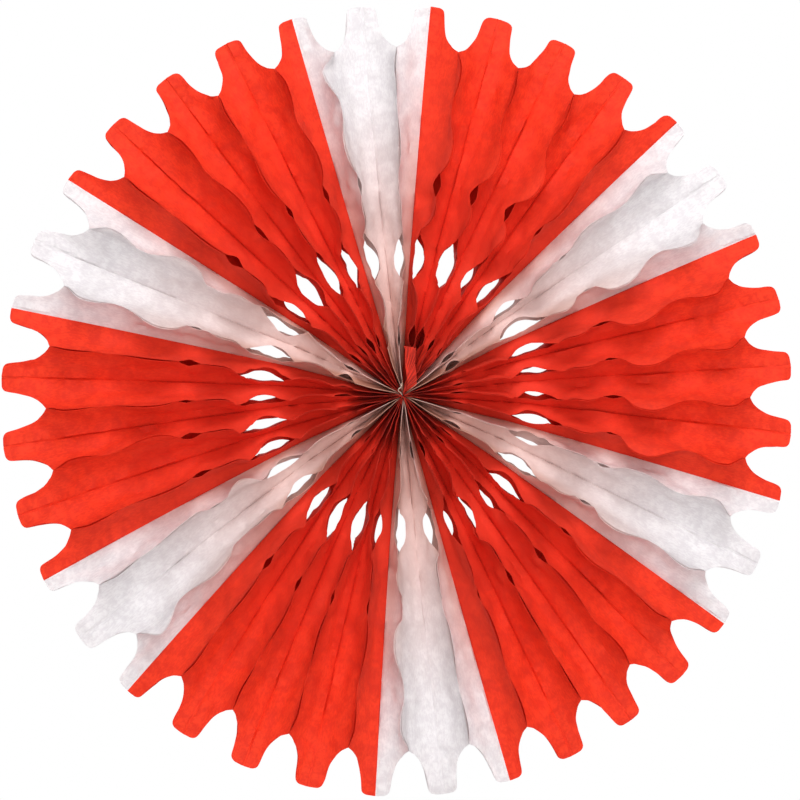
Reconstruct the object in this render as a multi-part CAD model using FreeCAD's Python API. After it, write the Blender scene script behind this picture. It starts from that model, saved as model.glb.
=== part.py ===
import FreeCAD, Part

import math
import os

# A hanging fan of tissue paper, opened all the way round into a rosette.
# Two die-cut sheets are glued edge to edge into one closed cell, and the cells are
# glued side by side along the sheets' mid creases. The disc stands in the XZ plane,
# its front faces -Y, and the origin is the hub. Sizes are in millimetres.

# How many cells there are, and how the colours follow each other round the hub
SECTOR_COUNT = 6
RED_RUN = 4
WHITE_RUN = 2
SEAM_ANGLE = 86.0         # degrees from +X, where the first and the last cell meet

# The disc
TIP_RADIUS = 317.5        # hub centre to the outer end of a tab
CUSP_RADIUS = 281.0       # hub centre to the cusp between two tabs
HUB_RADIUS = 6.0          # hub centre to the inner ends of the sheets
CUSP_RISE = 15.5          # how far the ridge stands from the mid plane at the cusps

# The tissue
PLY = 0.3                 # one sheet
MID_GLUE_WIDTH = 0.8      # glued land along a mid crease
RIDGE_STRIP = 1.0         # glued strip that stands beyond the ridge between two lobes
HUB_CREASE = 46.0         # radius where the walls crease across their twist near the hub

# One half of a tab, measured along and across the mid crease
TAB_HALF_WIDTH = 10.8
TAB_NECK_HALF_WIDTH = 12.6
TAB_NECK_RADIUS = 297.0
ARCH_HALF_WIDTH = 17.6    # where the arch between two tabs bends towards its cusp
ARCH_RADIUS = 286.0

# The almond holes: a notch through the folded edge, as deep as this below the ridge
ALMOND_FROM = 92.0
ALMOND_TO = 130.5
ALMOND_DEPTH = 20.5

# Lobes of doubled tissue beyond the ridge, each with the middle of its crest,
# the length of its crest and its height
INNER_LOBE_FROM = 54.0
INNER_LOBE_CREST = 71.0
INNER_LOBE_HEIGHT = 6.5
MIDDLE_LOBE_CREST = 146.0
MIDDLE_LOBE_HEIGHT = 11.0
WIDE_LOBE_FROM = 168.0
WIDE_LOBE_CREST = 198.0
WIDE_LOBE_CREST_LENGTH = 16.0
WIDE_LOBE_HEIGHT = 13.0
OUTER_LOBE_FROM = 232.0
OUTER_LOBE_CREST = 262.0
OUTER_LOBE_CREST_LENGTH = 16.0
OUTER_LOBE_HEIGHT = 13.5

# The thread that gathers the inner ends: turns side by side, tied into a flat band
THREAD_THICKNESS = 0.8
THREAD_BAND_WIDTH = 2.4

CELL_COUNT = SECTOR_COUNT * (RED_RUN + WHITE_RUN)
PITCH = 360.0 / CELL_COUNT
HALF_PITCH = math.radians(PITCH / 2)
SHEET_HALF_WIDTH = math.hypot(CUSP_RADIUS * math.tan(HALF_PITCH), CUSP_RISE)
ALMOND_MIDDLE = (ALMOND_FROM + ALMOND_TO) / 2
REACH = 1.1 * TIP_RADIUS  # raw walls run past the tabs, and the rim is cut out of them
CLEAR = 2 * SHEET_HALF_WIDTH  # cutters run this far past the tissue
SIDES = (-1, 1)           # the front and the back of the disc


def half_span(radius):
    """Half of a cell's width at a radius."""
    return radius * math.tan(HALF_PITCH)


def sheet_rise(radius):
    """Distance from the mid plane to the ridge that a flat sheet would give."""
    return math.sqrt(SHEET_HALF_WIDTH ** 2 - half_span(radius) ** 2)


def stations():
    """Radius, half span and ridge rise at the hub, at the two creases and past the rim."""
    radii = [HUB_RADIUS, HUB_CREASE, ALMOND_MIDDLE]
    points = [(radius, half_span(radius), sheet_rise(radius)) for radius in radii]
    fall = (sheet_rise(ALMOND_MIDDLE) - CUSP_RISE) / (CUSP_RADIUS - ALMOND_MIDDLE)
    points.append((REACH, half_span(REACH), CUSP_RISE - fall * (REACH - CUSP_RADIUS)))
    return points


def ridge_rise(radius):
    """Distance from the mid plane to the creased ridge."""
    for (start, _, low), (end, _, high) in zip(stations(), stations()[1:]):
        if radius <= end:
            return low + (high - low) * (radius - start) / (end - start)
    return stations()[-1][2]


def bond_rise(radius):
    """Distance from the mid plane to the middle of the joint between two plies."""
    slant = math.hypot(half_span(radius), ridge_rise(radius))
    return ridge_rise(radius) - PLY * (ridge_rise(radius) + slant) / (2 * half_span(radius))


def skin_section(radius, span, rise):
    """Outline of a cell: a rhombus, its side corners cut off at the glued lands."""
    land = MID_GLUE_WIDTH / 2
    corners = [(span, -land), (0, -rise), (-span, -land), (-span, land), (0, rise), (span, land)]
    return [FreeCAD.Vector(radius, depth, across) for across, depth in corners]


def hollow_section(radius, span, rise):
    """Outline of the hollow between the two sheets, one ply inside the skin."""
    slant = math.hypot(span, rise)
    inner_span = span - PLY * slant / rise
    inner_rise = rise - PLY * slant / span
    corners = [(inner_span, 0), (0, -inner_rise), (-inner_span, 0), (0, inner_rise)]
    return [FreeCAD.Vector(radius, depth, across) for across, depth in corners]


def flat_face(corners):
    """A flat face with straight edges from corner to corner."""
    return Part.Face(Part.makePolygon(corners + corners[:1]))


def creased_body(sections):
    """A closed body through sections with as many corners, its twisted walls creased.

    A wall's creases zigzag between the mid plane and the ridge from section to section.
    """
    faces = [flat_face(sections[0]), flat_face(sections[-1])]
    count = len(sections[0])
    for step, (near, far) in enumerate(zip(sections, sections[1:])):
        for i in range(count):
            j = (i + 1) % count
            height = abs(near[i].y)
            next_height = abs(near[j].y)
            if height == next_height:
                faces.append(flat_face([near[i], far[i], far[j], near[j]]))
            elif (height < next_height) == (step % 2 == 0):
                faces.append(flat_face([near[i], far[i], far[j]]))
                faces.append(flat_face([near[i], far[j], near[j]]))
            else:
                faces.append(flat_face([near[i], far[i], near[j]]))
                faces.append(flat_face([near[j], far[i], far[j]]))
    body = Part.Solid(Part.Shell(faces))
    if body.Volume < 0:
        body.reverse()
    return body


def walls():
    """The two sheets of a cell as one thin-walled tube, open at the hub and the rim."""
    skin = creased_body([skin_section(*station) for station in stations()])
    hollow = creased_body([hollow_section(*station) for station in stations()])
    return skin.cut(hollow)


def middle_plate(outline, side, half_thickness):
    """A plate on the cell's middle plane, from radius and distance to the mid plane."""
    corners = [FreeCAD.Vector(radius, side * depth, -half_thickness) for radius, depth in outline]
    return flat_face(corners).extrude(FreeCAD.Vector(0, 0, 2 * half_thickness))


def lobe_crest(crest, length, height):
    """The crest of one lobe, parallel to the ridge, or a single point without length."""
    ends = [crest - length / 2, crest + length / 2] if length else [crest]
    return [(radius, ridge_rise(radius) + height) for radius in ends]


def flange(side):
    """The doubled tissue beyond one ridge: four lobes joined by the glued strip."""
    outline = [(INNER_LOBE_FROM, ridge_rise(INNER_LOBE_FROM))]
    outline += lobe_crest(INNER_LOBE_CREST, 0, INNER_LOBE_HEIGHT)
    for radius in (ALMOND_FROM, ALMOND_TO):
        outline.append((radius, ridge_rise(radius) + RIDGE_STRIP))
    outline += lobe_crest(MIDDLE_LOBE_CREST, 0, MIDDLE_LOBE_HEIGHT)
    outline.append((WIDE_LOBE_FROM, ridge_rise(WIDE_LOBE_FROM) + RIDGE_STRIP))
    outline += lobe_crest(WIDE_LOBE_CREST, WIDE_LOBE_CREST_LENGTH, WIDE_LOBE_HEIGHT)
    outline.append((OUTER_LOBE_FROM, ridge_rise(OUTER_LOBE_FROM) + RIDGE_STRIP))
    outline += lobe_crest(OUTER_LOBE_CREST, OUTER_LOBE_CREST_LENGTH, OUTER_LOBE_HEIGHT)
    end = CUSP_RADIUS + RIDGE_STRIP
    outline.append((end, ridge_rise(end)))
    foot = [(radius, bond_rise(radius)) for radius in (end, ALMOND_MIDDLE, INNER_LOBE_FROM)]
    return middle_plate(outline + foot, side, PLY)


def almond(side):
    """Cutter for the notch that opens a cell in front or behind."""
    bottom = (ALMOND_MIDDLE, ridge_rise(ALMOND_MIDDLE) - ALMOND_DEPTH)
    start = (ALMOND_FROM, ridge_rise(ALMOND_FROM))
    end = (ALMOND_TO, ridge_rise(ALMOND_TO))
    top = [(ALMOND_TO, CLEAR), (ALMOND_FROM, CLEAR)]
    return middle_plate([start, bottom, end] + top, side, half_span(REACH))


def scallop():
    """Cutter for the rim from mid crease to mid crease: two half tabs and an arch."""
    def from_crease(along, across):
        """Radius and width from the ridge, of a point given by the mid crease."""
        return (along * math.cos(HALF_PITCH) + across * math.sin(HALF_PITCH),
                along * math.sin(HALF_PITCH) - across * math.cos(HALF_PITCH))

    half = [
        from_crease(TIP_RADIUS + CLEAR, -CLEAR),
        from_crease(TIP_RADIUS, -CLEAR),
        from_crease(TIP_RADIUS, TAB_HALF_WIDTH),
        from_crease(TAB_NECK_RADIUS, TAB_NECK_HALF_WIDTH),
        from_crease(ARCH_RADIUS, ARCH_HALF_WIDTH),
    ]
    outline = half + [(CUSP_RADIUS, 0)] + [(radius, -width) for radius, width in half[::-1]]
    corners = [FreeCAD.Vector(radius, -CLEAR, width) for radius, width in outline]
    return flat_face(corners).extrude(FreeCAD.Vector(0, 2 * CLEAR, 0))


def cell():
    """One glued cell, its ridges above and below the X axis."""
    body = walls().fuse([flange(side) for side in SIDES])
    return body.cut([almond(side) for side in SIDES] + [scallop()]).removeSplitter()


def polygon_prism(reach):
    """A prism on the hub with a flat side to each cell, that far from the centre."""
    corners = []
    for i in range(CELL_COUNT):
        angle = math.radians(SEAM_ANGLE - PITCH * i)
        corner = reach / math.cos(HALF_PITCH)
        corners.append(FreeCAD.Vector(corner * math.cos(angle), -THREAD_BAND_WIDTH / 2,
                                      corner * math.sin(angle)))
    return flat_face(corners).extrude(FreeCAD.Vector(0, THREAD_BAND_WIDTH, 0))


def centre_thread():
    """The tied thread: a band with a straight stretch along each cell's inner end."""
    return polygon_prism(HUB_RADIUS).cut(polygon_prism(HUB_RADIUS - THREAD_THICKNESS))


def colour_names():
    """The name of each cell, clockwise from the seam as seen from the front."""
    counts = {"red": 0, "white": 0}
    names = []
    for i in range(CELL_COUNT):
        colour = "red" if i % (RED_RUN + WHITE_RUN) < RED_RUN else "white"
        counts[colour] += 1
        names.append(f"{colour}_cell_{counts[colour]:02d}")
    return names


def main():
    """Write the cells and the thread, one file to a piece."""
    os.makedirs("parts", exist_ok=True)
    pattern = cell()
    for i, name in enumerate(colour_names()):
        turned = pattern.copy()
        angle = SEAM_ANGLE - PITCH * (i + 0.5)
        turned.rotate(FreeCAD.Vector(0, 0, 0), FreeCAD.Vector(0, 1, 0), -angle)
        turned.exportStep(f"parts/{name}.step")
    centre_thread().exportStep("parts/centre_thread.step")


main()
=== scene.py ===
import bisect
import logging
import math
import random
from dataclasses import dataclass, field
from enum import Enum

import bpy
from mathutils import Matrix, Vector, noise


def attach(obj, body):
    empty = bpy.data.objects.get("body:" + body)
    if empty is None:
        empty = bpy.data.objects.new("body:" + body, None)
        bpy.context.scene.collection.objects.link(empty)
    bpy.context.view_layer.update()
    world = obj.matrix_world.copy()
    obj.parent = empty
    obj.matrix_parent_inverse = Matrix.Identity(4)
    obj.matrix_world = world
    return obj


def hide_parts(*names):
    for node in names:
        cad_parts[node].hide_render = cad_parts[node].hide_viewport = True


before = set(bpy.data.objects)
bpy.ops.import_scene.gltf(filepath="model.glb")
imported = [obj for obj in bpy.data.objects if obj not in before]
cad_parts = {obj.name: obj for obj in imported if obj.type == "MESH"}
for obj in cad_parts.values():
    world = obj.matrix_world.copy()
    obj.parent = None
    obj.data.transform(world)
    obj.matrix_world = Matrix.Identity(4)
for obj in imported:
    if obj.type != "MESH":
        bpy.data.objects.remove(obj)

log = logging.getLogger("paper_fan")

Tree = bpy.types.ShaderNodeTree
Socket = bpy.types.NodeSocket

MM = 0.001


# Small helpers that every piece uses

def linear(code: str) -> tuple[float, float, float, float]:
    """An sRGB colour as the linear one that a shader takes.

    Args:
        code: the colour as "#RRGGBB".

    Returns:
        Linear red, green, blue and an alpha of 1.
    """
    levels = [int(code[i:i + 2], 16) / 255 for i in (1, 3, 5)]
    red, green, blue = (c / 12.92 if c <= 0.04045 else ((c + 0.055) / 1.055) ** 2.4
                        for c in levels)
    return red, green, blue, 1.0


def add_node(tree: Tree, kind: str, settings: dict | None = None,
             inputs: dict | None = None) -> bpy.types.Node:
    """Adds a node with its settings, and its inputs as values or links.

    Args:
        tree: the material's node tree.
        kind: the node's type name.
        settings: the node's own properties.
        inputs: by socket name or number, a value or the output socket to link.

    Returns:
        The new node.
    """
    node = tree.nodes.new(kind)
    for name, value in (settings or {}).items():
        setattr(node, name, value)
    for name, value in (inputs or {}).items():
        if isinstance(value, Socket):
            tree.links.new(value, node.inputs[name])
        else:
            node.inputs[name].default_value = value
    return node


def ease(points: list[tuple[float, float]], x: float) -> float:
    """A soft curve through points, level where it turns.

    Args:
        points: (place, height) pairs, in order of place.
        x: where to read the curve.

    Returns:
        The height there, held level beyond the ends.
    """
    if x <= points[0][0]:
        return points[0][1]
    if x >= points[-1][0]:
        return points[-1][1]
    i = bisect.bisect_right([p[0] for p in points], x) - 1

    def slope(k: int) -> float:
        """Rise of the stretch after point k."""
        return (points[k + 1][1] - points[k][1]) / (points[k + 1][0] - points[k][0])

    def tangent(k: int) -> float:
        """Tangent at point k, level at a crest or a dip."""
        if k == 0 or k == len(points) - 1:
            return slope(min(k, len(points) - 2))
        before, after = slope(k - 1), slope(k)
        return 0.0 if before * after <= 0 else 2 * before * after / (before + after)

    (x0, y0), (x1, y1) = points[i], points[i + 1]
    span = x1 - x0
    t = (x - x0) / span
    return (y0 * (1 + 2 * t) * (1 - t) ** 2 + span * tangent(i) * t * (1 - t) ** 2
            + y1 * t * t * (3 - 2 * t) + span * tangent(i + 1) * t * t * (t - 1))


def empty_hands() -> None:
    """Leaves edit mode and lets go of everything that is selected."""
    if bpy.context.object is not None and bpy.context.object.mode != "OBJECT":
        bpy.ops.object.mode_set(mode="OBJECT")
    bpy.ops.object.select_all(action="DESELECT")


# The tissue sheets and the cells they are glued into

class Colour(Enum):
    """The two colours of tissue, each with the word for it in its nodes' and slot's names."""

    RED = "red"
    WHITE = "white"


@dataclass
class SheetBlank:
    """One die-cut sheet, flat: radius along X and distance from its mid crease along Y, in mm.

    Up to the cusps, the die line gives how far the cut edge stands beyond the glued ridge.
    From there on, the rim gives the cut edge's distance from the mid crease.
    """

    half_width: float = 29.06  # mid crease to glued ridge
    land: float = 0.4  # half of the glued line along the mid crease
    strip: float = 0.8  # paper beyond the ridge between two lobes
    # the small slits, which are cut in the front half only
    front_slits: tuple[tuple[float, float], ...] = ((37.9, 54.1), (159.9, 177.5))
    tab_from: float = 284.0
    tab_length: float = 33.5
    corner_from: float = 312.0
    corner_length: float = 5.5
    corner: float = 0.9  # how far a tab's corners are rounded off
    longest_step: float = 3.1  # between two columns of points
    wall_rows: int = 7
    lobe_rows: int = 3
    weld: float = 0.02
    die_line: list[tuple[float, float]] = field(default_factory=lambda: [
        (0.8, 0.6), (20, 0.8), (37.5, 0.8), (38.0, 0.0), (39.5, -3.6), (42.5, -7.2), (46.5, -8.8),
        (50.6, -7.0), (53.0, -3.0), (54.0, 0.0), (55.4, 0.9), (60, 3.4), (65.5, 5.8), (71, 6.6),
        (78, 5.4), (83.5, 2.6), (86.8, 0.8), (87.6, 0.0), (90.6, -6.0), (95.8, -12.6),
        (103, -17.4), (110.5, -18.5), (118.0, -15.6), (124.8, -8.2), (130.8, 0.0), (133, 3.6),
        (139, 9.2), (145.5, 11.2), (152.5, 8.8), (158, 3.2), (160.0, 0.0), (164.5, -2.6),
        (169.5, -5.2), (174.3, -2.6), (177.4, 0.0), (180.2, 5.4), (184.5, 10.8), (191.5, 13.6),
        (199.5, 14.2), (208, 12.8), (217.5, 8.2), (227, 2.6), (232.5, 0.8), (237, 0.9),
        (242, 4.2), (249, 9.8), (257, 13.2), (264.5, 13.8), (271, 11.6), (276.8, 5.6), (280, 0.0)])
    rim: list[tuple[float, float]] = field(default_factory=lambda: [
        (280, 29.06), (280.9, 27.4), (282.2, 25.0), (283.8, 22.6), (285.6, 20.8), (288, 18.6),
        (291, 16.6), (296, 14.5), (304, 12.8), (311, 11.9), (314.8, 11.2), (316.3, 10.2),
        (317.1, 8.9), (317.5, 7.4)])

    def edge(self, x: float, front: bool) -> float:
        """Where the sheet is cut at a radius.

        Args:
            x: the radius.
            front: whether it is the sheet's front half.

        Returns:
            The distance from the mid crease to the cut edge.
        """
        if x >= self.rim[0][0]:
            return ease(self.rim, x)
        if not front and any(start < x < end for start, end in self.front_slits):
            return self.half_width + self.strip
        return self.half_width + ease(self.die_line, x)

    def columns(self) -> list[float]:
        """Spaces the sheet's columns of points, closer where the cut edge turns.

        Returns:
            Their radii.
        """
        marks = [x for x, _ in self.die_line] + [x for x, _ in self.rim[1:]]
        places = []
        for start, end in zip(marks, marks[1:]):
            steps = max(1, math.ceil((end - start) / self.longest_step))
            places += [start + (end - start) * k / steps for k in range(steps)]
        return places + [marks[-1]]

    def rows(self, x: float, front: bool) -> list[float]:
        """Spaces one column's points between the mid crease and the cut edge.

        Args:
            x: the column's radius.
            front: whether it is the sheet's front half.

        Returns:
            Their distances from the mid crease, wall first and lobe last.
        """
        edge = self.edge(x, front)
        foot = min(edge, self.half_width)
        wall = [self.land + (foot - self.land) * k / self.wall_rows
                for k in range(self.wall_rows + 1)]
        return wall + [foot + (edge - foot) * k / self.lobe_rows
                       for k in range(1, self.lobe_rows + 1)]

    def build(self) -> bpy.types.Object:
        """Cuts the flat sheet out of a gridded blank.

        Returns:
            The sheet, one ply, its mid crease on the X axis, in millimetres.
        """
        columns = self.columns()
        across = 2 * (self.wall_rows + self.lobe_rows + 1)
        empty_hands()
        bpy.ops.mesh.primitive_grid_add(x_subdivisions=len(columns) - 1,
                                        y_subdivisions=across - 1, size=2)
        sheet = bpy.context.object
        sheet.name = "sheet_blank"
        for vertex in sheet.data.vertices:
            i = round((vertex.co.x + 1) / 2 * (len(columns) - 1))
            j = round((vertex.co.y + 1) / 2 * (across - 1))
            side = 1 if j >= across // 2 else -1
            half = self.rows(columns[i], side < 0)
            k = j - across // 2 if side > 0 else across // 2 - 1 - j
            vertex.co = (columns[i], side * half[k], 0)
        bpy.ops.object.mode_set(mode="EDIT")
        bpy.ops.mesh.select_all(action="SELECT")
        bpy.ops.mesh.remove_doubles(threshold=self.weld)
        bpy.ops.mesh.dissolve_degenerate(threshold=self.weld)
        bpy.ops.object.mode_set(mode="OBJECT")
        fibre = sheet.data.uv_layers.new(name="fibre")
        for loop in sheet.data.loops:
            place = sheet.data.vertices[loop.vertex_index].co
            fibre.data[loop.index].uv = (place.x * MM, place.y * MM)
        return sheet


@dataclass
class Sway:
    """How a ridge wanders and its lobes lean, in mm to the side, anticlockwise positive."""

    # the crests of the four lobes, from the hub outwards
    inner: float
    middle: float
    wide: float
    outer: float
    # the ridge itself near the hub, at the almond hole and at the slit beyond it
    hub: float = 0.0
    almond: float = 0.0
    slit: float = 0.0

    def lean(self, x: float) -> float:
        """How far a lobe's crest stands to the side at a radius."""
        return ease([(20, 0.0), (71, self.inner), (100, 0.6 * self.inner + 0.2 * self.middle),
                     (146, self.middle), (199, self.wide),
                     (235, 0.5 * self.wide + 0.4 * self.outer), (264, self.outer), (280, 0.0)], x)

    def ridge(self, x: float) -> float:
        """How far the glued ridge lies to the side at a radius."""
        return ease([(6, 0.0), (28, self.hub), (50, 1.25 * self.hub), (71, 0.3 * self.inner),
                     (98, self.almond), (124, self.almond),
                     (146, 0.5 * self.slit + 0.15 * self.middle), (162, self.slit),
                     (176, self.slit), (199, 0.3 * self.wide), (264, 0.3 * self.outer),
                     (280, 0.0)], x)


@dataclass(frozen=True)
class Droop:
    """How the opened fan sags as it hangs: one side droops, and the gathered hub lags behind."""

    turn: float = 1.2  # degrees that the rim is turned where it droops most
    lowest: float = 210.0  # degrees from +X to that place
    rim: float = 317.5
    hub_shift: tuple[float, float] = (1.6, 6.0)  # of the hub against the rim, along X and Z
    core_shift: tuple[float, float] = (0.9, -4.4)  # of the gathered core on top of that
    core_reach: float = 90.0

    def hang(self, place: Vector) -> Vector:
        """Lets a point of the flat rosette sag.

        Args:
            place: the point, in mm.

        Returns:
            The point as it hangs, in mm.
        """
        radius = math.hypot(place.x, place.z)
        share = radius / self.rim
        away = math.atan2(place.z, place.x) - math.radians(self.lowest)
        droop = math.radians(self.turn) * math.cos(away) * share
        hung = Matrix.Rotation(-droop, 3, "Y") @ place
        lift = max(0.0, 1 - share)
        drop = max(0.0, 1 - radius / self.core_reach)
        return hung + Vector((self.hub_shift[0] * lift + self.core_shift[0] * drop, 0,
                              self.hub_shift[1] * lift + self.core_shift[1] * drop))


@dataclass
class TissueCell:
    """One closed cell: two sheets creased along their middle and glued along both ridges."""

    colour: Colour
    node: str
    angle: float  # of its ridges, anticlockwise from +X
    front: Sway
    back: Sway
    curl: tuple[float, float]  # how far the tabs of its two mid creases curl out of the plane
    seed: int
    held: tuple[float, float] = (0.0, 0.0)  # how broadly its two front walls are glued at the hub
    # how far the walls are pulled aside at the hub slit, the almond hole and the outer slit
    hub_gape: float = 0.9
    gape: float = 0.0
    slit_gape: float = 0.0
    hub_slit: tuple[float, float] = (36.0, 56.0)
    almond_hole: tuple[float, float] = (87.0, 131.2)
    outer_slit: tuple[float, float] = (158.0, 179.0)
    dip: float = 0.0  # how far the ridges sink near the hub, within dip_reach
    dip_reach: float = 62.0
    dive: float = 0.0  # how far they are drawn into the hub, within dive_reach
    dive_reach: float = 9.5
    flap: float = 0.0  # width of the sheet that is turned out beside the seam, within flap_reach
    flap_reach: float = 38.0
    pitch: float = 10.0
    ply: float = 0.16
    slot: float = 0.8  # half the valley's width beside a mid crease
    bow: float = 0.06  # sag of a wall, as a share of its width
    crumple: float = 2.0
    droop: Droop = Droop()

    def rise(self, x: float, width: float, stray: float) -> float:
        """How high the glued ridge stands.

        Args:
            x: the radius.
            width: the sheet's half width.
            stray: how unevenly the ridge sinks there, 0 for evenly.

        Returns:
            Its distance from the mid plane in mm.
        """
        span = x * math.tan(math.radians(self.pitch / 2))
        flat = math.sqrt(max(width ** 2 - span ** 2, 1.0))
        sunk = flat - self.dip * max(0.0, 1 - x / self.dip_reach) * (1 + stray)
        return sunk - self.dive * max(0.0, 1 - x / self.dive_reach) ** 2

    def fold(self, blank: SheetBlank, x: float, across: float, side: int) -> Vector:
        """Where a point of the flat sheet lies once it is folded and glued.

        Args:
            blank: the flat sheet's sizes.
            x: the point's radius on the flat sheet.
            across: its distance from the mid crease, negative in front.
            side: 1 for the sheet on the anticlockwise side, -1 for the other.

        Returns:
            The place in mm, with the ridge over the X axis.
        """
        half = math.radians(self.pitch / 2)
        face = -1 if across < 0 else 1
        reach = abs(across)
        span = x * math.tan(half)
        middle = x * math.sin(half)
        width = blank.half_width
        stray = noise.noise(Vector((self.seed * 5.17, x / 9, face * 2.3))) * max(0.0, 1 - x / 70)
        sway, shift, base = self.back, self.back.ridge(x), blank.land
        if face < 0:
            sway = self.front
            shift = sway.ridge(x) + 0.12 * self.dip * span * stray
            glued = self.held[0 if side > 0 else 1] * ease([(64, 1.0), (122, 0.0)], x)
            base = max(base, glued)
        crease = Vector((x * math.cos(half), face * min(reach, base),
                         side * (middle - 0.3 * self.ply)))
        ridge = Vector((x / math.cos(half), face * self.rise(x, width, stray), shift))
        t = max(0.0, (min(reach, width) - base) / (width - base))
        place = crease.lerp(ridge, t)
        if 0 < t < 0.2 and base == blank.land:
            place.z = side * max(abs(place.z), middle - self.slot * min(1.0, x / 60))
        chord = ridge - crease
        inward = Vector((0, -chord.z, chord.y)).normalized()
        if inward.z * side > 0:
            inward.negate()
        sag = min(self.bow * width, 0.32 * span) * math.sin(math.pi * t)
        place += inward * (sag + self.wrinkle(x, across, side) * self.free(x, t))
        place.z += side * self.opening(x, face) * min(1.0, 2.2 * t)
        if reach > width:
            place += self.tilt(reach - width, sway.lean(x) - shift, face, side)
            if face < 0 and self.flap and x < self.flap_reach:
                place += self.turn_out(x, (reach - width) / blank.strip)
        return place

    def opening(self, x: float, face: int) -> float:
        """How far a wall is pulled aside where a notch opens the cell.

        Args:
            x: the radius.
            face: -1 in front and 1 behind.

        Returns:
            The pull in mm, away from the cell's middle plane.
        """
        notches = [(self.almond_hole, self.gape)]
        if face < 0:
            notches += [(self.hub_slit, self.hub_gape), (self.outer_slit, self.slit_gape)]
        return sum(pull * math.sin(math.pi * (x - start) / (end - start))
                   for (start, end), pull in notches if start < x < end)

    def turn_out(self, x: float, share: float) -> Vector:
        """How far the strip's edge moves where the sheet is turned out flat beside the seam.

        Args:
            x: the radius.
            share: 0 at the ridge and 1 at the cut edge.

        Returns:
            The offset in mm.
        """
        out = max(0.0, min(1.0, (x - 3) / 5))
        aside = 0.22 * x - 6.6 + self.flap * (share - 0.66)
        return Vector((0, -0.5 * self.flap * share * out, out * aside))

    def free(self, x: float, t: float) -> float:
        """How freely a wall crumples: not at all where it is glued, and little near the hub."""
        near = min(1.0, max(0.0, x - 6) / 62)
        return near * math.sin(math.pi * min(t, 0.999)) ** 0.7

    def wrinkle(self, x: float, across: float, side: int) -> float:
        """The soft crumples: broad waves, creases and small dents.

        Args:
            x: the radius on the flat sheet.
            across: the distance from the mid crease.
            side: which of the cell's two sheets it is.

        Returns:
            Their depth in mm.
        """
        origin = Vector((self.seed * 7.31, side * 3.7, 0))
        broad = noise.noise(origin + Vector((x / 42, across / 17, 0.3)))
        crease = 1 - 2.4 * abs(noise.noise(origin + Vector((x / 24 + 9, across / 12, 4.1))))
        small = noise.noise(origin + Vector((x / 11, across / 8, 8.7)))
        return self.crumple * (1.3 * broad + 0.6 * crease + 0.7 * small)

    def tilt(self, height: float, sideways: float, face: int, side: int) -> Vector:
        """How a lobe leans: more towards its crest, with its two plies a little apart.

        Args:
            height: distance from the ridge on the flat sheet.
            sideways: how far a crest 14.5 mm high stands to the side.
            face: -1 in front and 1 behind.
            side: which of the cell's two sheets it is.

        Returns:
            The offset from the ridge in mm.
        """
        slope = math.asin(max(-0.93, min(0.93, sideways / 14.5)))
        slope += side * 0.05 * min(1.0, height / 4)
        slope *= 0.72 + 0.4 * height / 14
        return Vector((0, face * height * math.cos(slope), height * math.sin(slope)))

    def fold_ply(self, blank: bpy.types.Object, sizes: SheetBlank, side: int) -> bpy.types.Object:
        """Folds one copy of the flat sheet and brings it to its place.

        Args:
            blank: the flat sheet.
            sizes: its sizes.
            side: 1 for the sheet on the anticlockwise side, -1 for the other.

        Returns:
            The folded sheet, without thickness, in metres.
        """
        turn = math.radians(self.angle)
        radial = Vector((math.cos(turn), 0, math.sin(turn)))
        along = Vector((-math.sin(turn), 0, math.cos(turn)))
        data = blank.data.copy()
        # each sheet is cut from another part of the roll
        drift = (self.seed * 0.37 % 0.5, 0.1 + (self.seed * 0.23 + side * 0.09) % 0.4)
        for item in data.uv_layers["fibre"].data:
            item.uv = (item.uv[0] + drift[0], item.uv[1] + drift[1])
        for vertex in data.vertices:
            x, across = vertex.co.x, vertex.co.y
            place = self.fold(sizes, x, across, side)
            tab = max(0.0, (x - sizes.tab_from) / sizes.tab_length)
            place.y += self.curl[0 if side > 0 else 1] * tab ** 2
            end = max(0.0, (x - sizes.corner_from) / sizes.corner_length)
            place.x -= sizes.corner * end * (across / 10) ** 2
            world = radial * place.x + along * place.z + Vector((0, place.y, 0))
            vertex.co = self.droop.hang(world) * MM
        if side < 0:
            data.flip_normals()
        ply = bpy.data.objects.new(f"{self.node}_ply", data)
        bpy.context.collection.objects.link(ply)
        return ply

    def build(self, blank: bpy.types.Object, sizes: SheetBlank) -> bpy.types.Object:
        """Folds two copies of the flat sheet, glues them and gives them their thickness.

        Args:
            blank: the flat sheet.
            sizes: its sizes.

        Returns:
            The finished cell, in metres, at its place.
        """
        plies = [self.fold_ply(blank, sizes, side) for side in (1, -1)]
        empty_hands()
        for ply in plies:
            ply.select_set(True)
        bpy.context.view_layer.objects.active = plies[0]
        bpy.ops.object.join()
        cell = bpy.context.object
        cell.name = f"tissue_{self.node}"
        cell.data.name = cell.name
        cell.modifiers.new("ply", "SOLIDIFY")
        cell.modifiers["ply"].thickness = self.ply * MM
        cell.modifiers["ply"].offset = 1
        bpy.ops.object.modifier_apply(modifier="ply")
        bpy.ops.object.shade_smooth_by_angle(angle=math.radians(38))
        return cell

    def dress(self, cell: bpy.types.Object, finish: bpy.types.Material) -> None:
        """Gives the cell its tissue and its place on the body.

        Args:
            cell: the finished cell.
            finish: its tissue.
        """
        cell.data.materials.clear()
        cell.data.materials.append(finish)
        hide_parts(self.node)
        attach(cell, "root")


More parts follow.
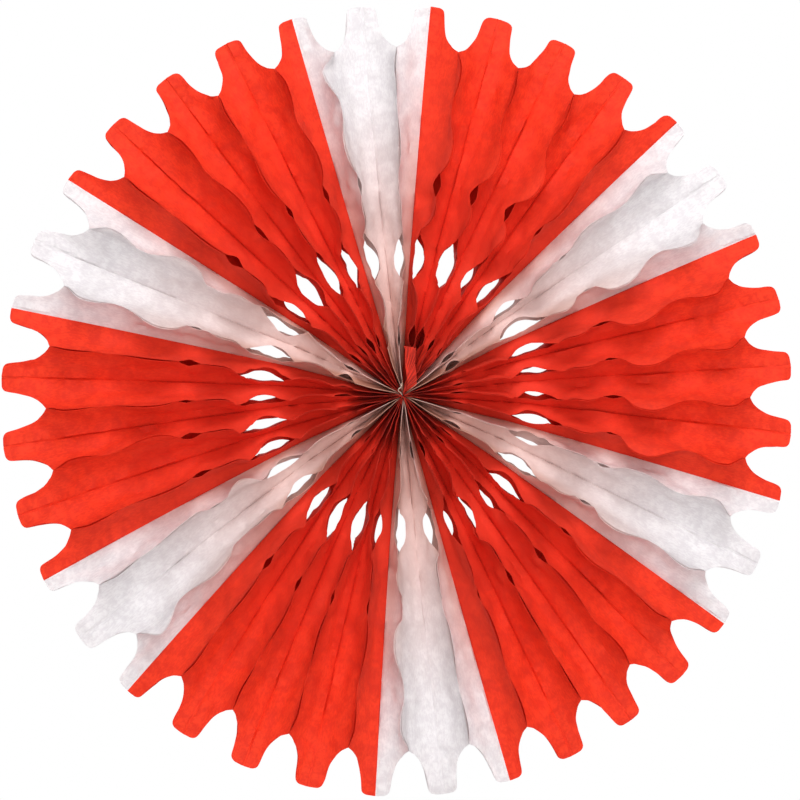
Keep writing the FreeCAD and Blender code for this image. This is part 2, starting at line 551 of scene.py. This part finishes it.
@dataclass(frozen=True)
class Tissue:
    """Machine-made tissue paper, 20 g/m2, bleached or dyed through and glazed on neither side.

    Its fibres and its painted crumple shade follow the flat sheet, so they read its own UV map, in
    metres. Its painted red glow and the painted shade in the gathered pleats read its place in the
    rosette.
    """

    name: str
    body: str  # where the fibres lie thick
    cloud: str  # where they lie thin
    crumple_shade_colour: str  # painted shade of crumples, laid on in patches
    through: str  # light that has passed through it
    red_glow: str  # painted glow of light bounced off the red sheets, most near the hub
    glow_and_shade_beside_red: str  # painted red glow and shade on a wall next to a red one
    pleat_shade: str  # painted shade inside the pleats of the gathered hub
    pleat_shade_at_ridge: float  # how much of that painted pleat shade shows on the ridges too
    share: float  # of the light that passes through
    grain: float  # strength of the fibres' relief
    roughness: float = 0.7  # uncoated paper
    ior: float = 1.45  # cellulose
    specular: float = 0.3  # loose fibres shine less than a closed surface
    hub: tuple[float, float, float] = (0.0013, 0.0, 0.0048)  # where the droop leaves it

    def fibres(self, tree: Tree, place: Socket) -> tuple[Socket, Socket]:
        """Draws the paper's fibres.

        Args:
            tree: the material's node tree.
            place: the place on the flat sheet.

        Returns:
            The paper's colour and the fibres' height.
        """
        # clouds of fibre 9 mm across
        clouds = add_node(tree, "ShaderNodeTexNoise", {"noise_dimensions": "2D"},
                          {"Vector": place, "Scale": 1 / 0.009, "Detail": 5.0, "Roughness": 0.6})
        # wisps 4 mm long and 1.3 mm across, about twice as coarse as real ones so that they show
        stretched = add_node(tree, "ShaderNodeMapping", {},
                             {"Vector": place, "Scale": (1.0, 3.0, 1.0)})
        wisps = add_node(tree, "ShaderNodeTexNoise", {"noise_dimensions": "2D"},
                         {"Vector": stretched.outputs["Vector"], "Scale": 1 / 0.004,
                          "Detail": 2.0, "Roughness": 0.7})
        mixed = add_node(tree, "ShaderNodeMix", {"data_type": "FLOAT"},
                         {"Factor": 0.5, "A": clouds.outputs["Fac"], "B": wisps.outputs["Fac"]})
        spread = add_node(tree, "ShaderNodeMapRange", {"interpolation_type": "SMOOTHSTEP"},
                          {"Value": mixed.outputs[0], "From Min": 0.38, "From Max": 0.64})
        shade = add_node(tree, "ShaderNodeMix", {"data_type": "RGBA"},
                         {"Factor": spread.outputs["Result"],
                          6: linear(self.cloud), 7: linear(self.body)})
        return shade.outputs[2], mixed.outputs[0]

    def paint_crumple_shade(self, tree: Tree, place: Socket, radius: Socket, shade: Socket) -> Socket:
        """Paints the shade of crumples on in darker patches.

        Args:
            tree: the material's node tree.
            place: the place on the flat sheet.
            radius: the distance from the middle of the rosette.
            shade: the colour so far.

        Returns:
            The new colour.
        """
        # painted crumple shade in patches 24 mm across, most of them well inside the rim
        patches = add_node(tree, "ShaderNodeTexNoise", {"noise_dimensions": "2D"},
                           {"Vector": place, "Scale": 1 / 0.024, "Detail": 3.0,
                            "Roughness": 0.55, "Distortion": 0.6})
        inside = add_node(tree, "ShaderNodeMapRange", {},
                          {"Value": radius, "From Min": 0.29, "From Max": 0.15,
                           "To Min": 0.1, "To Max": 0.45})
        crumple_shaded = add_node(tree, "ShaderNodeMapRange", {"interpolation_type": "SMOOTHSTEP"},
                           {"Value": patches.outputs["Fac"], "From Min": 0.5, "From Max": 0.66,
                            "To Max": inside.outputs["Result"]})
        mixed = add_node(tree, "ShaderNodeMix", {"data_type": "RGBA"},
                         {"Factor": crumple_shaded.outputs["Result"], 6: shade, 7: linear(self.crumple_shade_colour)})
        return mixed.outputs[2]

    def paint_red_glow_and_shade(self, tree: Tree, radius: Socket, spokes: Socket, shade: Socket) -> Socket:
        """Paints on the glow of light bounced off the red sheets, most near the hub, and glow and
        shade on the walls beside them.

        Args:
            tree: the material's node tree.
            radius: the distance from the middle of the rosette.
            spokes: the place as seen from the hub.
            shade: the colour so far.

        Returns:
            The new colour.
        """
        # painted red glow: all sheets take some of it, most near the hub and none at the tabs
        near = add_node(tree, "ShaderNodeMapRange", {"interpolation_type": "SMOOTHSTEP"},
                        {"Value": radius, "From Min": 0.275, "From Max": 0.0, "To Max": 0.95})
        glow_near_hub = add_node(tree, "ShaderNodeMix", {"data_type": "RGBA"},
                          {"Factor": near.outputs["Result"], 6: shade, 7: linear(self.red_glow)})
        # painted red glow and shade go on walls more than 5 degrees from the middle of a white
        # pair, which lie next to red, so a sixth of the circle is counted from each such middle
        apart = add_node(tree, "ShaderNodeSeparateXYZ", {}, {"Vector": spokes})
        angle = add_node(tree, "ShaderNodeMath", {"operation": "ARCTAN2"},
                         {0: apart.outputs["Z"], 1: apart.outputs["X"]})
        sixths = add_node(tree, "ShaderNodeMath", {"operation": "MULTIPLY_ADD"},
                          {0: angle.outputs["Value"], 1: 3 / math.pi, 2: -36 / 60})
        off = add_node(tree, "ShaderNodeMath", {"operation": "PINGPONG"},
                       {0: sixths.outputs["Value"], 1: 0.5})
        outer = add_node(tree, "ShaderNodeMapRange", {"interpolation_type": "SMOOTHSTEP"},
                         {"Value": off.outputs["Value"],
                          "From Min": 4.5 / 60, "From Max": 8.5 / 60})
        inwards = add_node(tree, "ShaderNodeMapRange", {},
                           {"Value": radius, "From Min": 0.25, "From Max": 0.04,
                            "To Min": 0.03, "To Max": 0.9})
        glow = add_node(tree, "ShaderNodeMath", {"operation": "MULTIPLY"},
                        {0: outer.outputs["Result"], 1: inwards.outputs["Result"]})
        mixed = add_node(tree, "ShaderNodeMix", {"data_type": "RGBA"},
                         {"Factor": glow.outputs["Value"],
                          6: glow_near_hub.outputs[2], 7: linear(self.glow_and_shade_beside_red)})
        return mixed.outputs[2]

    def paint_pleat_shade(self, tree: Tree, spokes: Socket, shade: Socket) -> Socket:
        """Paints shade into the pleats that the gathered paper is packed in at the hub.

        Args:
            tree: the material's node tree.
            spokes: the place as seen from the hub.
            shade: the colour so far.

        Returns:
            The new colour.
        """
        level = add_node(tree, "ShaderNodeVectorMath", {"operation": "MULTIPLY"},
                         {0: spokes, 1: (1.0, 0.0, 1.0)})
        out = add_node(tree, "ShaderNodeVectorMath", {"operation": "LENGTH"},
                       {0: level.outputs["Vector"]})
        unit = add_node(tree, "ShaderNodeVectorMath", {"operation": "NORMALIZE"},
                        {0: level.outputs["Vector"]})
        # painted shade of pleats that run out from the hub, 2 mm apart at 40 mm from it, and change
        # every 22 mm
        along = add_node(tree, "ShaderNodeMath", {"operation": "DIVIDE"},
                         {0: out.outputs["Value"], 1: 0.022})
        along = add_node(tree, "ShaderNodeCombineXYZ", {}, {"Y": along.outputs["Value"]})
        polar = add_node(tree, "ShaderNodeVectorMath", {"operation": "MULTIPLY_ADD"},
                         {0: unit.outputs["Vector"], 1: (21.0, 21.0, 21.0),
                          2: along.outputs["Vector"]})
        pleats = add_node(tree, "ShaderNodeTexNoise", {},
                          {"Vector": polar.outputs["Vector"], "Scale": 1.0, "Detail": 3.0,
                           "Roughness": 0.65})
        dark = add_node(tree, "ShaderNodeMapRange", {"interpolation_type": "SMOOTHSTEP"},
                        {"Value": pleats.outputs["Fac"], "From Min": 0.40, "From Max": 0.58})
        gathered = add_node(tree, "ShaderNodeMapRange", {"interpolation_type": "SMOOTHSTEP"},
                            {"Value": out.outputs["Value"], "From Min": 0.066, "From Max": 0.018,
                             "To Max": 0.85})
        # the ridges stand 29 mm before the mid plane, and the painted pleat shade fades out towards
        # them
        apart = add_node(tree, "ShaderNodeSeparateXYZ", {}, {"Vector": spokes})
        depth = add_node(tree, "ShaderNodeMath", {"operation": "ABSOLUTE"},
                         {0: apart.outputs["Y"]})
        deep = add_node(tree, "ShaderNodeMapRange", {},
                        {"Value": depth.outputs["Value"], "From Min": 0.029, "From Max": 0.02,
                         "To Min": self.pleat_shade_at_ridge, "To Max": 1.0})
        dark = add_node(tree, "ShaderNodeMath", {"operation": "MULTIPLY"},
                        {0: dark.outputs["Result"], 1: gathered.outputs["Result"]})
        dark = add_node(tree, "ShaderNodeMath", {"operation": "MULTIPLY"},
                        {0: dark.outputs["Value"], 1: deep.outputs["Result"]})
        mixed = add_node(tree, "ShaderNodeMix", {"data_type": "RGBA"},
                         {"Factor": dark.outputs["Value"], 6: shade, 7: linear(self.pleat_shade)})
        return mixed.outputs[2]

    def relief(self, tree: Tree, place: Socket, fibres: Socket) -> Socket:
        """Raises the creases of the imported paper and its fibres.

        Args:
            tree: the material's node tree.
            place: the place on the flat sheet.
            fibres: the fibres' height.

        Returns:
            The normal.
        """
        # soft creases 16 mm apart and 0.6 mm deep, from being packed folded
        creases = add_node(tree, "ShaderNodeTexNoise",
                           {"noise_dimensions": "2D", "noise_type": "RIDGED_MULTIFRACTAL"},
                           {"Vector": place, "Scale": 1 / 0.016, "Detail": 2.0, "Roughness": 0.5})
        bump = add_node(tree, "ShaderNodeBump", {},
                        {"Strength": 0.35, "Distance": 0.0006, "Height": creases.outputs["Fac"]})
        fine = add_node(tree, "ShaderNodeBump", {},
                        {"Strength": self.grain, "Distance": 0.00025, "Height": fibres,
                         "Normal": bump.outputs["Normal"]})
        return fine.outputs["Normal"]

    def material(self) -> bpy.types.Material:
        """Builds the tissue's shader: a matt face, and light that passes through.

        Returns:
            The material.
        """
        made = bpy.data.materials.new(self.name)
        made.use_nodes = True
        tree = made.node_tree
        tree.nodes.clear()
        place = add_node(tree, "ShaderNodeUVMap", {"uv_map": "fibre"}).outputs["UV"]
        middle = add_node(tree, "ShaderNodeTexCoord").outputs["Object"]
        radius = add_node(tree, "ShaderNodeVectorMath", {"operation": "LENGTH"},
                          {0: middle}).outputs["Value"]
        spokes = add_node(tree, "ShaderNodeVectorMath", {"operation": "SUBTRACT"},
                          {0: middle, 1: self.hub}).outputs["Vector"]
        shade, fibres = self.fibres(tree, place)
        # painted crumple shade, painted red glow and shade, and painted shade in the gathered
        # pleats
        shade = self.paint_crumple_shade(tree, place, radius, shade)
        shade = self.paint_red_glow_and_shade(tree, radius, spokes, shade)
        shade = self.paint_pleat_shade(tree, spokes, shade)
        normal = self.relief(tree, place, fibres)
        face = add_node(tree, "ShaderNodeBsdfPrincipled", {},
                        {"Base Color": shade, "Roughness": self.roughness, "IOR": self.ior,
                         "Specular IOR Level": self.specular, "Normal": normal})
        lit = add_node(tree, "ShaderNodeBsdfTranslucent", {},
                       {"Color": linear(self.through), "Normal": normal})
        both = add_node(tree, "ShaderNodeMixShader", {},
                        {"Fac": self.share, 1: face.outputs["BSDF"], 2: lit.outputs["BSDF"]})
        add_node(tree, "ShaderNodeOutputMaterial", {}, {"Surface": both.outputs["Shader"]})
        return made


# To the eye: matt orange red, faintly cloudy, brighter where light comes through the tabs, with
# painted crumple shade in patches, a painted red glow near the hub and painted deep red shade in
# the gathered pleats
RED_TISSUE = Tissue(
    name="dyed_red_tissue_paper", body="#FF4322", cloud="#EC351C", crumple_shade_colour="#C42B20",
    through="#F5301A", red_glow="#F04834", glow_and_shade_beside_red="#EA3824", pleat_shade="#7E1A14",
    pleat_shade_at_ridge=1.0, share=0.2, grain=0.3)

# To the eye: matt white with thin grey clouds and painted grey crumple shade, a painted pink red
# glow towards the hub, painted salmon glow and shade beside the red, and painted brown shade only
# down in the pleats
WHITE_TISSUE = Tissue(
    name="bleached_white_tissue_paper", body="#FCFBFC", cloud="#E9E6E9", crumple_shade_colour="#DCD7D8",
    through="#FBF4F2", red_glow="#F3C5B8", glow_and_shade_beside_red="#D2977F", pleat_shade="#98604E",
    pleat_shade_at_ridge=0.0, share=0.28, grain=0.3)


@dataclass(frozen=True)
class TwistedCotton:
    """Undyed cotton spun and twisted into thread: dull, cream, with slanting strands."""

    name: str = "undyed_twisted_cotton"
    strand: str = "#D9C6B4"
    # painted shade in the grooves between the strands
    groove_shade: str = "#A8907C"

    def material(self) -> bpy.types.Material:
        """Builds the thread's shader: strands that catch the light, with painted shade in the
        darker grooves between them.

        Returns:
            The material.
        """
        made = bpy.data.materials.new(self.name)
        made.use_nodes = True
        tree = made.node_tree
        tree.nodes.clear()
        place = add_node(tree, "ShaderNodeTexCoord").outputs["Object"]
        # strands 4 mm apart along the thread, coarser than the real 1 mm so that they show:
        # the wave's diagonal bands repeat every pi / 5 over its scale
        twist = add_node(tree, "ShaderNodeTexWave", {"bands_direction": "DIAGONAL"},
                         {"Vector": place, "Scale": math.pi / 5 / 0.00395, "Distortion": 1.5,
                          "Detail": 2.0})
        shade = add_node(tree, "ShaderNodeMix", {"data_type": "RGBA"},
                         {"Factor": twist.outputs["Fac"],
                          6: linear(self.groove_shade), 7: linear(self.strand)})
        bump = add_node(tree, "ShaderNodeBump", {},
                        {"Strength": 0.5, "Distance": 0.0002, "Height": twist.outputs["Fac"]})
        skin = add_node(tree, "ShaderNodeBsdfPrincipled", {},
                        {"Base Color": shade.outputs[2], "Roughness": 0.85, "Sheen Weight": 0.2,
                         "Normal": bump.outputs["Normal"]})
        add_node(tree, "ShaderNodeOutputMaterial", {}, {"Surface": skin.outputs["BSDF"]})
        return made


@dataclass
class HubThread:
    """The thread that gathers the sheets at the hub, with its tied end hooked out in front."""

    thickness: float = 0.8
    loop: float = 1.6
    hub: tuple[float, float] = (2.5, 1.6)  # where the droop leaves the gathered ends, X and Z
    node: str = "centre_thread"

    def path(self) -> list[Vector]:
        """Leads the thread two turns round the hub, out to the front and into its curl.

        Returns:
            Its points in mm, as seen from the hub.
        """
        turns = [Vector((self.loop * math.cos(a), -0.6 * a / math.pi, self.loop * math.sin(a)))
                 for a in (math.radians(30 * k) for k in range(3, 28))]
        tail = [(0.1, -6, 0.8), (0.0, -14, 0.6), (-0.2, -22, 0.4), (-1.6, -28.5, 1.6),
                (-2.6, -31.0, 2.6), (-4.0, -31.6, 3.2), (-4.2, -31.8, 4.8), (-2.9, -31.9, 5.6),
                (-1.6, -31.8, 6.8), (-1.4, -31.4, 8.6), (-1.2, -31.0, 9.6)]
        return turns + [Vector(p) for p in tail]

    def build(self) -> bpy.types.Object:
        """Sweeps the thread along its path and makes it a closed mesh.

        Returns:
            The thread, in metres.
        """
        empty_hands()
        bpy.ops.curve.primitive_nurbs_path_add()
        curve = bpy.context.object
        curve.name = "tied_thread"
        data = curve.data
        data.splines.clear()
        points = self.path()
        spline = data.splines.new("NURBS")
        spline.points.add(len(points) - 1)
        for knot, place in zip(spline.points, points):
            knot.co = ((place.x + self.hub[0]) * MM, place.y * MM, (place.z + self.hub[1]) * MM, 1)
        spline.order_u = 4
        spline.use_endpoint_u = True
        data.bevel_depth = self.thickness / 2 * MM
        data.bevel_resolution = 2
        data.resolution_u = 3
        data.use_fill_caps = True
        bpy.ops.object.convert(target="MESH")
        bpy.ops.object.mode_set(mode="EDIT")
        bpy.ops.mesh.select_all(action="SELECT")
        bpy.ops.mesh.remove_doubles(threshold=0.00001)
        bpy.ops.mesh.normals_make_consistent(inside=False)
        bpy.ops.object.mode_set(mode="OBJECT")
        bpy.ops.object.shade_smooth_by_angle(angle=math.radians(50))
        return bpy.context.object

    def dress(self, thread: bpy.types.Object, finish: bpy.types.Material) -> None:
        """Gives the thread its cotton and its place on the body.

        Args:
            thread: the finished thread.
            finish: its cotton.
        """
        thread.data.materials.clear()
        thread.data.materials.append(finish)
        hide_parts(self.node)
        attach(thread, "root")


@dataclass
class Rosette:
    """The whole fan: 36 cells clockwise from the seam, and the thread."""

    sectors: int = 6
    red_run: int = 4
    white_run: int = 2
    seam: float = 86.0  # degrees from +X, where the first and the last cell meet
    # by cell: how far the crests of its four front lobes lean, in mm, anticlockwise positive
    leans: dict[int, tuple[float, float, float, float]] = field(default_factory=lambda: {
        0: (-1.0, -3.0, -8.0, -4.0), 1: (-2.0, -6.0, -11.0, -2.5), 2: (-3.5, -12.0, -14.0, -3.0),
        3: (-3.0, -7.0, -5.0, -2.5), 4: (-3.0, -2.0, 5.0, 7.0), 5: (-5.0, -11.0, -13.5, -10.0),
        6: (-4.5, -7.0, -12.0, -9.0), 7: (-4.5, -7.0, -12.0, -8.0), 8: (-4.0, -8.0, -13.0, -8.0),
        9: (-3.0, -8.0, -15.0, -9.0), 10: (-1.0, 1.0, 4.5, 7.0), 11: (-3.6, -8.0, -9.0, -6.0),
        12: (-2.0, -4.0, -6.6, -4.0), 13: (0.5, 1.0, 1.5, 2.0), 14: (-0.6, -1.5, -2.0, -1.0),
        15: (0.6, 1.5, 2.0, 1.0), 16: (-0.5, 0.0, 0.8, 0.8), 17: (-4.1, -8.0, -9.5, -6.0),
        18: (-0.6, -2.0, 2.0, 2.0), 19: (0.6, 1.0, -2.0, 1.5), 20: (0.6, 2.0, 2.0, -1.5),
        21: (-0.6, 1.0, 2.0, 2.0), 22: (0.5, 2.6, 7.4, 13.0), 23: (-3.0, -9.0, -3.0, 2.0),
        24: (1.0, 2.0, 3.0, 3.0), 25: (0.4, 0.8, -6.3, -4.0), 26: (0.8, 2.0, 4.2, 3.0),
        27: (0.5, 1.0, 2.0, 2.0), 28: (1.0, 5.0, 10.0, 6.0), 29: (-2.0, -6.0, -10.0, -6.0),
        30: (1.0, 2.0, 3.0, 2.0), 31: (-1.0, -2.0, -4.0, -2.0), 32: (1.0, 3.0, 5.0, 3.0),
        33: (-1.0, -3.0, -5.0, -3.0), 34: (0.8, 2.6, 6.3, 12.0), 35: (-0.4, -1.5, -1.0, 2.0)})
    # by cell: how broadly it is glued to the next one near the hub
    bands: dict[int, float] = field(default_factory=lambda: {
        0: 8.0, 1: 15.0, 2: 13.0, 3: 9.0, 4: 17.0, 5: 8.0, 6: 14.0, 7: 15.0, 8: 12.0, 9: 8.0,
        10: 12.0, 11: 9.0, 12: 7.0, 13: 10.0, 14: 6.0, 15: 5.0, 16: 6.0, 17: 6.0, 18: 4.0, 19: 7.0,
        20: 8.0, 21: 7.0, 22: 12.0, 23: 7.0, 24: 9.0, 25: 12.0, 26: 10.0, 27: 9.0, 28: 17.0,
        29: 9.0, 30: 12.0, 31: 14.0, 32: 16.0, 33: 9.0, 34: 10.0})
    # by cell: how far the slit near the hub gapes, the slit beyond the almond hole gapes, and
    # the ridge stands aside near the hub, drawn by lot where a cell isn't named
    hub_gapes: dict[int, float] = field(default_factory=lambda: {
        0: 3.0, 1: 2.4, 4: 0.9, 5: 1.7, 10: 1.0, 11: 1.3, 16: 1.3, 17: 1.3, 22: 1.2, 23: 0.8,
        28: 0.7, 29: 1.1, 34: 0.4, 35: 1.2})
    slit_gapes: dict[int, float] = field(default_factory=lambda: {
        0: 2.2, 1: 1.1, 2: 0.9, 30: 1.2, 31: 0.9, 34: 0.0})
    hub_shifts: dict[int, float] = field(default_factory=lambda: {
        0: -1.2, 3: -2.4, 4: -1.7, 5: -1.8, 6: -1.2, 9: 0.8, 10: 0.3, 11: -2.4, 12: -1.8, 15: -1.0,
        16: -0.8, 17: -2.2, 18: -1.6, 21: 0.8, 22: 0.6, 23: -0.8, 24: -0.4, 26: 1.2, 27: 2.4,
        28: 3.6, 29: 1.6, 30: 1.4, 32: 1.4, 33: 2.6, 34: 4.0, 35: 2.0})
    # by cell: how far the ridge stands aside at the almond hole, in front and behind, and how far
    # the hole gapes
    almonds: dict[int, tuple[float, float, float]] = field(default_factory=lambda: {
        0: (7.6, 7.6, 0.4), 1: (-1.9, -1.9, 2.9), 2: (-7.9, -0.3, -1.8), 3: (-8.0, -1.5, -0.8),
        4: (-7.5, 0.4, -2.2), 5: (-7.0, -7.0, 1.6), 6: (-7.8, -1.2, -0.9), 7: (-7.5, 0.5, -2.2),
        8: (-7.8, 1.0, -2.3), 9: (-5.0, -3.9, -0.2), 10: (1.4, -7.6, -2.0), 11: (-7.9, -3.7, -0.6),
        12: (-6.6, -5.8, 0.0), 13: (-0.8, -8.0, -1.8), 14: (-7.7, -0.8, -2.2),
        15: (2.7, -7.9, -0.7), 16: (5.9, 0.4, -0.3), 17: (-6.6, -0.9, -0.1),
        18: (-4.8, 6.3, -0.6), 19: (4.2, 4.2, 1.3), 20: (5.1, 4.1, -0.2), 21: (7.7, 4.8, -0.1),
        22: (7.6, 1.3, -1.0), 23: (2.2, 4.2, -0.2), 24: (7.4, 4.4, -0.1), 25: (8.0, 1.9, -0.7),
        26: (7.6, 0.5, -1.7), 27: (5.4, 5.4, 1.0), 28: (7.1, 0.6, -0.5), 29: (-7.9, -3.5, -0.4),
        30: (6.3, -7.1, -1.0), 31: (-1.6, -1.6, 2.3), 32: (0.0, -0.8, -0.1), 33: (1.7, 1.5, 0.1),
        34: (5.8, 5.8, 1.1), 35: (-3.6, -2.0, -0.1)})

    def colour_of(self, number: int) -> Colour:
        """The colour of a cell by its place from the seam."""
        place = number % (self.red_run + self.white_run)
        return Colour.RED if place < self.red_run else Colour.WHITE

    def cells(self) -> list[TissueCell]:
        """Plans every cell with its name, its angle and its own way of bending.

        Returns:
            The cells, clockwise from the seam.
        """
        count = self.sectors * (self.red_run + self.white_run)
        pitch = 360 / count
        shuffle = random.Random(36)
        curls = [shuffle.uniform(-2.5, 2.5) for _ in range(count)]
        made, tally = [], {Colour.RED: 0, Colour.WHITE: 0}
        for i in range(count):
            colour = self.colour_of(i)
            tally[colour] += 1
            red = colour is Colour.RED
            lean = self.leans[i]
            front_almond, back_almond, gape = self.almonds[i]
            drawn = shuffle.uniform(0.5, 2.0) * shuffle.choice((-1, 1))
            wander = self.hub_shifts.get(i, drawn)
            slit = 0.15 * (lean[1] + lean[2])
            front = Sway(*lean, hub=wander, almond=front_almond, slit=slit)
            turn = -1 if slit > 0 else 1
            back = Sway(*(turn * shuffle.uniform(0.6, 1) * size for size in (1.5, 8, 10, 8)),
                        hub=-0.5 * wander, almond=back_almond, slit=slit + 8 * turn)
            made.append(TissueCell(
                colour=colour, node=f"{colour.value}_cell_{tally[colour]:02d}",
                angle=self.seam - pitch * (i + 0.5), front=front, back=back,
                curl=(curls[i], curls[(i + 1) % count]), seed=i + 1, gape=gape,
                held=(self.bands.get(i - 1, 0.0), self.bands.get(i, 0.0)),
                hub_gape=self.hub_gapes.get(i, shuffle.uniform(-0.3, 0.9)),
                slit_gape=self.slit_gapes.get(
                    i, shuffle.uniform(-0.9, 0.6) if red else shuffle.uniform(-1.2, -0.2)),
                dip=shuffle.uniform(3.0, 10.0) if red else 0.0, dive=0.0 if red else 17.0,
                slot=0.8 if red else 1.6, flap=0.0 if i else 12.5, pitch=pitch))
        return made

    def build(self) -> None:
        """Builds and dresses every cell and the thread."""
        sizes = SheetBlank()
        blank = sizes.build()
        finishes = {Colour.RED: RED_TISSUE.material(),
                    Colour.WHITE: WHITE_TISSUE.material()}
        for plan in self.cells():
            cell = plan.build(blank, sizes)
            plan.dress(cell, finishes[plan.colour])
            log.info("%s: %d faces", cell.name, len(cell.data.polygons))
        bpy.data.objects.remove(blank)
        thread = HubThread()
        tied = thread.build()
        thread.dress(tied, TwistedCotton().material())
        log.info("%s: %d faces", tied.name, len(tied.data.polygons))


@dataclass
class Studio:
    """A pale floor, soft lamps above, in front and behind, and the photo's viewpoint."""

    floor_level: float = -0.46  # below the picture, so that the photo's white reaches its edge
    floor_side: float = 2.6
    distance: float = 2.7
    azimuth: float = -2.5
    elevation: float = -2.5
    picture_width: float = 0.6413  # of what the picture shows at the hub
    centre: tuple[float, float] = (0.0012, -0.00075)  # of the picture, X and Z
    fill: float = 0.345

    def floor(self) -> None:
        """Lays the pale floor under the rosette."""
        empty_hands()
        bpy.ops.mesh.primitive_plane_add(size=self.floor_side, location=(0, 0, 0))
        floor = bpy.context.object
        floor.name = "studio_floor"
        floor.data.transform(Matrix.Translation((0, 0, self.floor_level)))
        # white card, matt: it takes a soft shadow and shows no gloss
        paint = bpy.data.materials.new("matt_white_board")
        paint.use_nodes = True
        skin = paint.node_tree.nodes["Principled BSDF"]
        skin.inputs["Base Color"].default_value = linear("#E9E8E6")
        skin.inputs["Roughness"].default_value = 0.8
        floor.data.materials.append(paint)

    def world(self) -> None:
        """White behind everything for the camera, and a plain fill from all round."""
        world = bpy.data.worlds.new("studio_white")
        bpy.context.scene.world = world
        world.use_nodes = True
        tree = world.node_tree
        tree.nodes.clear()
        # the camera, gloss and clear things see plain white, and all else a weaker fill
        path = add_node(tree, "ShaderNodeLightPath")
        bright = add_node(tree, "ShaderNodeMath", {"operation": "MAXIMUM"},
                          {0: path.outputs["Is Camera Ray"], 1: path.outputs["Is Glossy Ray"]})
        bright = add_node(tree, "ShaderNodeMath", {"operation": "MAXIMUM"},
                          {0: bright.outputs["Value"], 1: path.outputs["Is Transmission Ray"]})
        seen = add_node(tree, "ShaderNodeBackground", {}, {"Color": (1, 1, 1, 1), "Strength": 1.0})
        fill = add_node(tree, "ShaderNodeBackground", {},
                        {"Color": linear("#F4F2F6"), "Strength": self.fill})
        mix = add_node(tree, "ShaderNodeMixShader", {},
                       {"Fac": bright.outputs["Value"], 1: fill.outputs["Background"],
                        2: seen.outputs["Background"]})
        add_node(tree, "ShaderNodeOutputWorld", {}, {"Surface": mix.outputs["Shader"]})

    def lamp(self, name: str, place: tuple[float, float, float], size: float, power: float) -> None:
        """Hangs one square soft lamp that faces the rosette.

        Args:
            name: the lamp's name.
            place: where it hangs, in metres.
            size: its side in metres.
            power: its power in watts.
        """
        light = bpy.data.lights.new(name, "AREA")
        light.size = size
        light.energy = power
        hung = bpy.data.objects.new(name, light)
        bpy.context.collection.objects.link(hung)
        hung.location = place
        hung.rotation_euler = (-Vector(place)).to_track_quat("-Z", "Y").to_euler()

    def camera(self) -> None:
        """Puts the camera at the photo's viewpoint, aimed at the middle of the picture."""
        data = bpy.data.cameras.new("camera")
        camera = bpy.data.objects.new("camera", data)
        bpy.context.collection.objects.link(camera)
        turn, tilt = math.radians(self.azimuth), math.radians(self.elevation)
        back = Vector((math.sin(turn) * math.cos(tilt), -math.cos(turn) * math.cos(tilt),
                       math.sin(tilt)))
        aim = Vector((self.centre[0], 0, self.centre[1]))
        camera.location = aim + back * self.distance
        camera.rotation_euler = (-back).to_track_quat("-Z", "Y").to_euler()
        data.lens = data.sensor_width * self.distance / self.picture_width
        data.clip_start = 0.05
        bpy.context.scene.camera = camera

    def build(self) -> None:
        """Sets up the floor, the light and the camera."""
        self.floor()
        self.world()
        self.lamp("lamp_above", (0.1, -1.6, 1.5), 1.25, 29)
        self.lamp("lamp_behind", (-0.9, 2.2, 1.3), 1.6, 21)
        self.lamp("lamp_front", (0.2, -2.8, 0.05), 1.5, 33)
        self.camera()
        bpy.context.scene.view_settings.view_transform = "Standard"


def main() -> None:
    """Builds the rosette and the studio; the rosette logs each piece's face count."""
    logging.basicConfig(level=logging.INFO, format="%(name)s: %(message)s")
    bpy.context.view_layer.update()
    Rosette().build()
    Studio().build()


if __name__ == "__main__":
    main()
